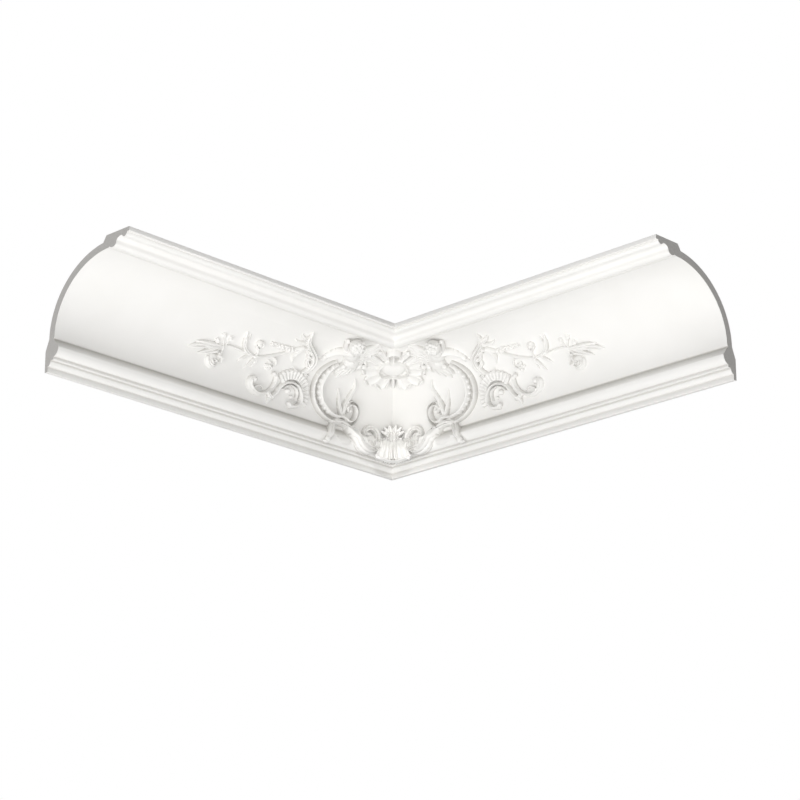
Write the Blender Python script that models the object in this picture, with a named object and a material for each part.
"""Inside corner of a coved cornice moulding, with rococo relief cast in one with it.

Metres, +Z up. The moulding hugs two walls that meet at a right angle. Its left arm runs towards -X
and its right arm towards -Y. The origin is on the narrow underside, at the foot of the mitre.
Distances called out are measured from the wall, and distances called down from the ceiling face.
"""

import math

import bmesh
import bpy
from mathutils import Vector

MM = 0.001

# Body of the moulding
LEFT_LENGTH = 0.690
RIGHT_LENGTH = 0.666
PROJECTION = 0.170
DROP = 0.170
LEG = 0.006
COVE_WALL = 0.011
CEILING_CONTACT = 0.048
WALL_CONTACT = 0.031

# Mouldings along the ceiling edge, front to back
FILLET_HEIGHT = 0.0064
FILLET_SHELF = 0.0045
BEAD_RADIUS = 0.0055
QUIRK_RISE = 0.0018
CAVETTO_WIDTH = 0.0110
CAVETTO_DEPTH = 0.0072
NOSE_WIDTH = 0.0075
NOSE_DEPTH = 0.0058
COVE_TOP_DOWN = 0.0198

# Mouldings along the wall edge, top to bottom
COVE_FOOT_OUT = 0.0180
COVE_FOOT_UP = 0.0480
NOTCH = 0.0020
LEDGE_OUT = 0.0278
LEDGE_FALL = 0.0130
OVOLO_HEIGHT = 0.0130
STEP_OUT = 0.0176
STEP_HEIGHT = 0.0040
BAND_OUT = 0.0120
BAND_HEIGHT = 0.0080

# Relief, drawn flat in millimetres on a cove of this girth, in a moulding of this projection
DRAWN_GIRTH = 165.0
DRAWN_PROJECTION = 170.0
RELIEF_HEIGHT = 1.0
SINK = 6.0
BRIDGE_OUT = 0.0290
CORNER_ROUND = 0.0100

COVE_STEPS = 14
ROLL_STEPS = 5
KEPT_FACES = 0.74

PLASTER_WHITE = (0.83, 0.83, 0.82, 1.0)
PLASTER_ROUGHNESS = 0.62

# Places along the section that several of its parts share
BEAD_OUT = PROJECTION - FILLET_SHELF - BEAD_RADIUS
QUIRK_OUT = BEAD_OUT - BEAD_RADIUS
NOSE_DOWN = FILLET_HEIGHT + QUIRK_RISE + CAVETTO_DEPTH
NOSE_OUT = QUIRK_OUT - CAVETTO_WIDTH - NOSE_WIDTH
COVE_CENTRE_OUT = NOSE_OUT - NOSE_WIDTH
COVE_CENTRE_DOWN = DROP - COVE_FOOT_UP
COVE_REACH_OUT = COVE_CENTRE_OUT - COVE_FOOT_OUT
COVE_REACH_DOWN = COVE_CENTRE_DOWN - COVE_TOP_DOWN
LEDGE_DOWN = COVE_CENTRE_DOWN + NOTCH + LEDGE_FALL


def arc(centre, reach, start, end, steps):
    """Points of an elliptical arc; 0 degrees is along the first axis and 90 along the second."""
    points = []
    for i in range(steps + 1):
        turn = math.radians(start + (end - start) * i / steps)
        points.append((centre[0] + reach[0] * math.cos(turn), centre[1] + reach[1] * math.sin(turn)))
    return points


def front_line():
    """The moulded face from the ceiling edge down to the underside, as (out, down) points."""
    line = [(PROJECTION, 0.0), (PROJECTION, FILLET_HEIGHT)]
    line += arc((BEAD_OUT, FILLET_HEIGHT), (BEAD_RADIUS, BEAD_RADIUS), 0, 155, ROLL_STEPS)
    line += arc((QUIRK_OUT, NOSE_DOWN), (CAVETTO_WIDTH, CAVETTO_DEPTH), 270, 190, ROLL_STEPS)
    line += arc((NOSE_OUT, NOSE_DOWN), (NOSE_WIDTH, NOSE_DEPTH), 10, 150, ROLL_STEPS)
    line += cove_line(COVE_STEPS)
    line += [(COVE_FOOT_OUT - NOTCH, COVE_CENTRE_DOWN + NOTCH)]
    line += arc((STEP_OUT, LEDGE_DOWN), (LEDGE_OUT - STEP_OUT, OVOLO_HEIGHT), 0, 90, ROLL_STEPS)
    band_down = LEDGE_DOWN + OVOLO_HEIGHT + STEP_HEIGHT
    line += [(STEP_OUT, band_down)]
    line += arc((LEG, band_down), (BAND_OUT - LEG, BAND_HEIGHT), 0, 90, ROLL_STEPS)
    line += [(LEG, DROP)]
    return line


def cove_line(steps, wall=0.0, start=270):
    """The quarter-round hollow of the face, or that of the back where wall is its thickness."""
    reach = (COVE_REACH_OUT + wall, COVE_REACH_DOWN + wall)
    return arc((COVE_CENTRE_OUT, COVE_CENTRE_DOWN), reach, start, 180, steps)


def back_line():
    """The hidden side from the underside up to the ceiling: wall leg, hollow back and flange."""
    hollow = cove_line(COVE_STEPS - 2, COVE_WALL, start=264)
    return [(0.0, DROP), (0.0, DROP - WALL_CONTACT)] + hollow[::-1] + [(PROJECTION - CEILING_CONTACT, 0.0)]


def world(along, out, down):
    """A point of the left arm; along is measured on the wall from the corner of the room."""
    return Vector((LEG / 2 - along, LEG / 2 - out, DROP - down))


def moulding_body(name):
    """Extrudes the section from the left end to the mitre, and from there to the right end."""
    mesh = bmesh.new()
    section = [mesh.verts.new(world(LEFT_LENGTH, out, down)) for out, down in front_line() + back_line()]
    left_end = mesh.faces.new(section)
    mitre = extruded(mesh, left_end)
    for vert in mitre.verts:
        vert.co.x = vert.co.y
    right_end = extruded(mesh, mitre)
    for vert in right_end.verts:
        vert.co.y = LEG / 2 - RIGHT_LENGTH
    bmesh.ops.delete(mesh, geom=[mitre], context="FACES_ONLY")
    return finished(mesh, name)


def extruded(mesh, face):
    grown = bmesh.ops.extrude_face_region(mesh, geom=[face])
    return next(item for item in grown["geom"] if isinstance(item, bmesh.types.BMFace))


def finished(mesh, name):
    """Turns the faces outwards and makes the mesh an object."""
    bmesh.ops.recalc_face_normals(mesh, faces=mesh.faces)
    if mesh.calc_volume(signed=True) < 0:
        bmesh.ops.reverse_faces(mesh, faces=mesh.faces)
    data = bpy.data.meshes.new(name)
    mesh.to_mesh(data)
    mesh.free()
    return bpy.data.objects.new(name, data)


# The line that the relief lies on: the cove, then a bridge over the ledge to the ovolo
BEARING = ([(PROJECTION, COVE_TOP_DOWN)] + cove_line(60)
           + [(BRIDGE_OUT, LEDGE_DOWN + 0.004), (BRIDGE_OUT, DROP), (BRIDGE_OUT, DROP + 0.03)])


def girth_table():
    """Girth in metres at each point of the bearing line, zero at the top of the cove."""
    girths = [0.0]
    for near, far in zip(BEARING, BEARING[1:]):
        girths.append(girths[-1] + math.dist(near, far))
    return [girth - girths[1] for girth in girths]


GIRTHS = girth_table()
GIRTH_SCALE = GIRTHS[61] / DRAWN_GIRTH
ALONG_SCALE = PROJECTION / DRAWN_PROJECTION


def bearing(girth):
    """Point of the bearing line at a girth in metres, and the direction that faces the room."""
    index = max(i for i in range(len(GIRTHS) - 1) if i == 0 or GIRTHS[i] <= girth)
    near, far = Vector(BEARING[index]), Vector(BEARING[index + 1])
    run = (far - near).normalized()
    return near + run * (girth - GIRTHS[index]), Vector((run.y, -run.x))


def on_arm(point):
    """Lays a drawn point (along, girth, height) on the left arm."""
    place, lift = bearing(point.y * GIRTH_SCALE)
    place += lift * point.z * RELIEF_HEIGHT * MM
    return world(point.x * ALONG_SCALE, place.x, place.y)


def on_corner(point):
    """Lays a drawn point over the mitre: the first value runs across it, rounded in the corner."""
    place, lift = bearing(point.y * GIRTH_SCALE)
    place += lift * point.z * RELIEF_HEIGHT * MM
    across = point.x * ALONG_SCALE
    from_walls = place.x + (math.hypot(across, CORNER_ROUND) + across) / math.sqrt(2)
    from_other = place.x + (math.hypot(across, CORNER_ROUND) - across) / math.sqrt(2)
    return world(from_walls, from_other, place.y)


def smooth(points, samples):
    """Evenly numbered points and directions along a smooth curve through a few drawn points."""
    spots = [Vector(point).to_2d() for point in points]
    spots = [2 * spots[0] - spots[1]] + spots + [2 * spots[-1] - spots[-2]]
    curve = []
    for i in range(samples + 1):
        place = (len(points) - 1) * i / samples
        index = min(int(place), len(points) - 2)
        t = place - index
        a, b, c, d = spots[index:index + 4]
        spot = 0.5 * (2 * b + (c - a) * t + (2 * a - 5 * b + 4 * c - d) * t ** 2 + (3 * b - a - 3 * c + d) * t ** 3)
        run = 0.5 * ((c - a) + 2 * (2 * a - 5 * b + 4 * c - d) * t + 3 * (3 * b - a - 3 * c + d) * t ** 2)
        curve.append((spot, run.normalized()))
    return curve


def along_values(values, share):
    """Reads a short list of values, spread evenly from root to tip, at a share of the length."""
    place = share * (len(values) - 1)
    index = min(int(place), len(values) - 2)
    return values[index] + (values[index + 1] - values[index]) * (place - index)


# Cross sections, as (share of the half width, share of the height) from one edge to the other
ROLL = [(-1, 0), (-0.55, 0.95), (0.55, 0.95), (1, 0)]
BLADE = [(-1, 0), (-0.85, 0.5), (0, 1), (1, 0)]
TROUGH = [(-1, 0), (-0.8, 0.8), (0, 0.55), (0.8, 0.8), (1, 0)]
BAND = [(-1, 0), (-0.95, 0.55), (-0.1, 0.5), (0.3, 1), (1, 0)]


def stroke(path, widths, heights, samples, section=ROLL):
    """A relief stroke: a section that changes along a drawn path, sunk into what it lies on."""
    mesh = bmesh.new()
    rings = []
    for i, (spot, run) in enumerate(smooth(path, samples)):
        share = i / samples
        side = Vector((-run.y, run.x)) * along_values(widths, share)
        height = along_values(heights, share)
        ring = [spot.to_3d() + side.to_3d() * edge + Vector((0, 0, height * rise)) for edge, rise in section]
        for end in (-1, 0):
            ring[end].z = -SINK
        rings.append([mesh.verts.new(point) for point in ring])
    for near, far in zip(rings, rings[1:]):
        for k in range(len(section)):
            mesh.faces.new((near[k - 1], near[k], far[k], far[k - 1]))
    mesh.faces.new(rings[0])
    mesh.faces.new(rings[-1][::-1])
    return mesh


def boss(centre, radii, height, segments=6, rings=4):
    """A rounded boss: a ball pressed to three radii, standing at a height."""
    mesh = bmesh.new()
    bmesh.ops.create_uvsphere(mesh, u_segments=segments, v_segments=rings, radius=1)
    for vert in mesh.verts:
        vert.co = Vector((centre[0] + vert.co.x * radii[0], centre[1] + vert.co.y * radii[1],
                          height + vert.co.z * radii[2]))
    return mesh


def fan(centre, inner, outer, start, end, ribs, heights):
    """A fluted shell: ribs that stand round a centre from an inner to an outer radius."""
    mesh = bmesh.new()
    stations = (inner, (inner + outer) / 2, outer)
    rings = []
    for i in range(2 * ribs + 1):
        turn = math.radians(start + (end - start) * i / (2 * ribs))
        ray = Vector((math.cos(turn), math.sin(turn), 0))
        crest = 1.0 if i % 2 else 0.6
        ring = [Vector((centre[0], centre[1], 0)) + ray * reach for reach in stations]
        tops = [point + Vector((0, 0, height * crest)) for point, height in zip(ring, heights)]
        base = [point + Vector((0, 0, -SINK)) for point in (ring[-1], ring[0])]
        rings.append([mesh.verts.new(point) for point in tops + base])
    for near, far in zip(rings, rings[1:]):
        for k in range(len(near)):
            mesh.faces.new((near[k - 1], near[k], far[k], far[k - 1]))
    mesh.faces.new(rings[0])
    mesh.faces.new(rings[-1][::-1])
    return mesh


def turned(centre, radius, start, end, steps):
    """A round stretch of a drawn path; the two radii are those at its start and end."""
    points = []
    for i in range(steps + 1):
        share = i / steps
        turn = math.radians(start + (end - start) * share)
        reach = radius[0] + (radius[1] - radius[0]) * share
        points.append((centre[0] + reach * math.cos(turn), centre[1] + reach * math.sin(turn)))
    return points


def branch():
    """The stem that runs out along the arm, with its leaves, buds and blossoms."""
    yield stroke([(262, 60), (284, 78), (306, 91), (331, 99), (358, 98), (387, 97), (402, 103)],
                 (3.0, 2.6, 2.2, 1.8, 1.5), (5, 5, 4.5, 4, 3), 9)
    for tip in ((447, 107), (457, 117), (437, 123)):
        middle = (tip[0] - 27, 0.4 * tip[1] + 62)
        yield stroke([(395, 101), middle, tip], (1.5, 4.5, 4.5, 1.0), (3, 4.5, 4.5, 1.5), 4, BLADE)
    for bud, root in (((410, 96), (400, 101)), ((404, 87), (397, 99)), ((391, 88), (393, 99))):
        yield stroke([root, bud], (1.3, 1.3), (3, 3), 1)
        yield boss(bud, (4.4, 4.8, 4.7), 1.5)
    yield stroke([(399, 100), (398, 108), (404, 120)], (1.8, 2.5), (4.4, 6), 2)
    yield boss((409, 129), (12, 12, 9), 0.5, 9, 6)
    for root, tip, rise in (((399, 121), (400, 142), 9.5), ((405, 119), (412, 145), 11), ((411, 121), (425, 135), 10)):
        middle = (0.5 * (root[0] + tip[0]) - 1, 0.5 * (root[1] + tip[1]) + 1)
        yield stroke([root, middle, tip], (2.5, 5, 3), (0.8 * rise, rise, 0.6 * rise), 3)
    yield stroke([(392, 109), (401, 114), (413, 114)], (1, 3.5, 1), (5, 7, 4), 3, BLADE)
    yield stroke([(334, 100), (350, 97), (361, 90), (366, 80), (370, 67)], (1.5, 3.5, 3.5, 3, 1), (4, 5, 6, 6, 3), 5)
    yield stroke([(333, 99), (332, 93), (335, 86)], (1.5, 1.5), (4, 4), 2)
    yield boss((337, 79), (7.8, 7.8, 5.3), 1.0, 8, 4)
    yield stroke([(330, 99), (336, 110), (345, 123)], (1.5, 3.8, 1), (4, 4.5, 2), 3, BLADE)
    yield stroke([(343, 100), (351, 107), (359, 115)], (1.2, 3, 1), (3, 3, 1.5), 3, BLADE)
    yield stroke([(303, 88), (293, 92), (291, 101), (297, 110)], (1.5, 1.5, 2, 1.5), (4, 4, 4, 4), 4)
    for place, radius in (((304, 107), 5.5), ((296, 112), 4.5), ((306, 99), 4.0)):
        yield boss(place, (radius, radius, 5), 1.0)
    for i in range(5):
        radius = 4.8 - 0.3 * i
        yield boss((280.5 + 8.6 * i, 67 + 0.6 * math.sin(i)), (5.2, radius, radius), 0.5)


def acanthus():
    """The leaf that curls up where the stem begins."""
    yield stroke([(238, 103), (229, 91), (229, 74), (242, 60), (259, 52), (268, 42), (270, 29)],
                 (3, 7, 9, 8, 6, 4, 1.5), (5, 8, 8, 8, 8, 7, 4), 10, TROUGH)
    yield stroke([(250, 58), (262, 47), (276, 44), (284, 38)], (2, 5, 4, 1), (6, 6, 5, 2), 4, BLADE)
    yield stroke([(258, 56), (268, 66), (267, 78), (259, 90)], (2.5, 5, 4.5, 1), (6, 6, 5, 2), 4, BLADE)
    for root, tip in (((233, 88), (218, 84)), ((239, 102), (225, 111)), ((241, 97), (256, 93))):
        middle = (0.5 * (root[0] + tip[0]), 0.5 * (root[1] + tip[1]) + 3)
        yield stroke([root, middle, tip], (2, 4, 1), (5, 6, 2), 3, BLADE)


def small_scroll():
    """The small C scroll that lies under the stem."""
    yield stroke([(325, 124), (334, 129), (336, 139), (328, 148), (314, 152), (299, 150), (287, 143),
                  (280, 131), (281, 119), (290, 113)], (3, 5, 6, 6, 5, 3), (6, 8, 9, 9, 8, 5), 13)
    yield boss((324, 126), (4.7, 4.7, 5), 4.0)


def shell_scroll():
    """The fluted shell, with the scroll that holds it."""
    yield fan((250, 134), 19, 37, -38, -196, 7, (8, 9, 4))
    yield stroke([(284, 149), (276, 138), (270, 125), (257, 117), (242, 118), (231, 128), (227, 141),
                  (235, 151), (249, 153)], (4.5, 3.5, 3.5, 3.5, 3.5, 4), (6, 9, 10, 10, 9, 8), 13)
    yield boss((249, 150), (5, 4.5, 5), 4.0)
    yield boss((253, 130), (6.5, 6, 5), 2.0)


def great_scroll():
    """The tall C scroll with its volute, and the sprig that grows from it."""
    path = turned((151, 101), (52, 52), -44, 112, 12) + turned((122, 134), (13, 8), 84, 370, 7)
    yield stroke(path, (4.5, 9, 9.5, 9, 7, 5, 4, 3.2, 2.5), (8, 11, 12, 11, 10, 10, 9, 9, 8), 29, BAND)
    yield boss((121, 133), (4.2, 4.2, 5), 4.0)
    yield stroke([(136, 140), (134, 122), (128, 107), (127, 95), (133, 84)], (3, 4, 3.5, 3, 1), (7, 6, 5, 5, 3), 6, BLADE)
    yield stroke([(138, 138), (147, 123), (153, 109)], (3, 3.5, 1), (7, 5, 3), 3, BLADE)


def cherub():
    """A small winged cherub that leans out over the tall scroll, with a skirt of leaves."""
    yield boss((202, 7), (13, 14.5, 13), 15.0, 12, 7)
    yield boss((197, 1), (13.5, 14, 12), 14.0, 9, 6)
    yield boss((178, 44), (16, 15, 11), 3.0, 9, 5)
    yield boss((163, 60), (14, 13, 10), 3.0, 8, 5)
    yield stroke([(182, 40), (193, 27), (202, 12)], (12, 9, 9), (14, 16, 15), 3)
    yield stroke([(180, 42), (195, 40), (208, 45), (215, 60)], (7, 5.5, 4.5, 3.5), (13, 12, 10, 8), 6)
    yield boss((216, 63), (5, 5, 5), 5.0)
    yield stroke([(190, 40), (202, 28), (211, 14)], (4, 3.5, 2.5), (9, 8, 6), 3)
    for tip in ((176, 88), (164, 84), (153, 77), (143, 64)):
        yield stroke([(161, 56), (0.5 * tip[0] + 80, 0.5 * tip[1] + 31), tip], (5, 6, 1.5), (10, 10, 5), 3, BLADE)
    for tip in ((158, 4), (147, 12), (139, 24), (136, 36)):
        yield stroke([(175, 44), (0.5 * tip[0] + 84, 0.5 * tip[1] + 17), tip], (5, 5, 1.5), (9, 9, 4), 3, BLADE)


def bracket():
    """The foot that carries the tall scroll over the ledge, and ends in a leafy scroll."""
    yield stroke([(158, 160), (143, 158.5), (128, 158.5), (114, 160)], (4, 4.5, 4.5, 4), (8.5, 10, 10.5, 9), 4)
    yield stroke([(153, 164), (160, 174), (168, 186), (171, 193)], (5.5, 5.5, 5, 4), (9, 12, 9, 6), 5)
    yield boss((171, 195), (5, 5, 5), 1.0)
    yield stroke([(124, 161), (111, 169), (105, 183), (96, 193), (82, 197), (67, 188), (54, 170), (49, 157),
                  (56, 149), (67, 151), (70, 158)], (6, 8, 9.5, 9, 6, 4.5, 4, 3.5, 3), (8, 13, 13, 12, 11, 11, 10, 9, 8),
                 17, TROUGH)
    yield stroke([(112, 166), (101, 176), (89, 181), (77, 177)], (4, 5, 4, 1.5), (9, 9, 8, 5), 5, BLADE)


def crest():
    """The half of the cartouche and its fan of leaves that lies on the left of the mitre."""
    for turn, length, width in ((-62, 40, 6), (-32, 44, 7.5), (-6, 46, 8.5), (20, 45, 8.5), (50, 44, 8.5)):
        ray = Vector((math.cos(math.radians(turn)), math.sin(math.radians(turn))))
        path = [Vector((0, 38)) + ray * (length * share) for share in (0.3, 0.7, 1.0)]
        yield stroke(path, (0.7 * width, width, 0.55 * width), (7, 8, 3), 3)
    yield stroke([(4, 150), (10, 144), (17, 138), (18, 129), (11, 124)], (4, 4.5, 4.5, 3.5, 2.5), (6, 9, 10, 9, 7), 7)


def keystone():
    """What stands on the mitre itself: the cartouche, its ribs, and the bell of leaves below."""
    yield boss((0, 36), (20.5, 16, 9), 5.0, 14, 6)
    yield stroke([(0, 27), (0, 1)], (3, 3), (7, 6), 2)
    yield stroke([(13, 15), (11, 3), (0, -5), (-11, 3), (-13, 15)], (2.5, 3, 3, 2.5), (5, 8, 8.5, 8, 5), 8)
    yield stroke([(0, 48), (0, 62), (0, 80)], (3.5, 5, 5), (8, 8, 4), 3)
    yield stroke([(0, 132), (0, 146), (0, 160), (0, 175), (0, 190), (0, 202)],
                 (11, 9.5, 11, 16, 23, 27), (7, 8, 9, 10, 13, 12), 10)
    yield stroke([(0, 172), (0, 188), (0, 204)], (3, 5.5, 4), (7, 17, 14), 3, BLADE)


def relief_piece(name, mesh, place, mirrored):
    """Lays one drawn shape on the moulding; the right arm's is the left's, turned about the mitre."""
    for vert in mesh.verts:
        vert.co = place(vert.co)
        if mirrored:
            vert.co.x, vert.co.y = vert.co.y, vert.co.x
    for face in mesh.faces:
        face.smooth = True
    return finished(mesh, name)


def collection(name):
    made = bpy.data.collections.new(name)
    bpy.context.scene.collection.children.link(made)
    return made


def build():
    for item in list(bpy.data.objects):
        bpy.data.objects.remove(item, do_unlink=True)

    relief = collection("relief shapes")
    drawn_on_arm = (branch, acanthus, small_scroll, shell_scroll, great_scroll, cherub, bracket)
    for mirrored in (False, True):
        for motif in drawn_on_arm:
            for mesh in motif():
                relief.objects.link(relief_piece(motif.__name__, mesh, on_arm, mirrored))
        for mesh in crest():
            relief.objects.link(relief_piece("crest", mesh, on_corner, mirrored))
    for mesh in keystone():
        relief.objects.link(relief_piece("keystone", mesh, on_corner, False))
    for shape in relief.objects:
        shape.hide_render = True
        shape.display_type = "WIRE"

    plaster = bpy.data.materials.new("white_moulded_polyurethane")
    plaster.use_nodes = True
    shader = plaster.node_tree.nodes["Principled BSDF"]
    shader.inputs["Base Color"].default_value = PLASTER_WHITE
    shader.inputs["Roughness"].default_value = PLASTER_ROUGHNESS
    shader.inputs["Metallic"].default_value = 0.0

    cornice = moulding_body("cornice_corner")
    cornice.data.materials.append(plaster)
    collection("cornice corner").objects.link(cornice)
    union = cornice.modifiers.new("relief", "BOOLEAN")
    union.operation = "UNION"
    union.operand_type = "COLLECTION"
    union.collection = relief
    union.solver = "EXACT"
    thinned = cornice.modifiers.new("thinned", "DECIMATE")
    thinned.ratio = KEPT_FACES


build()
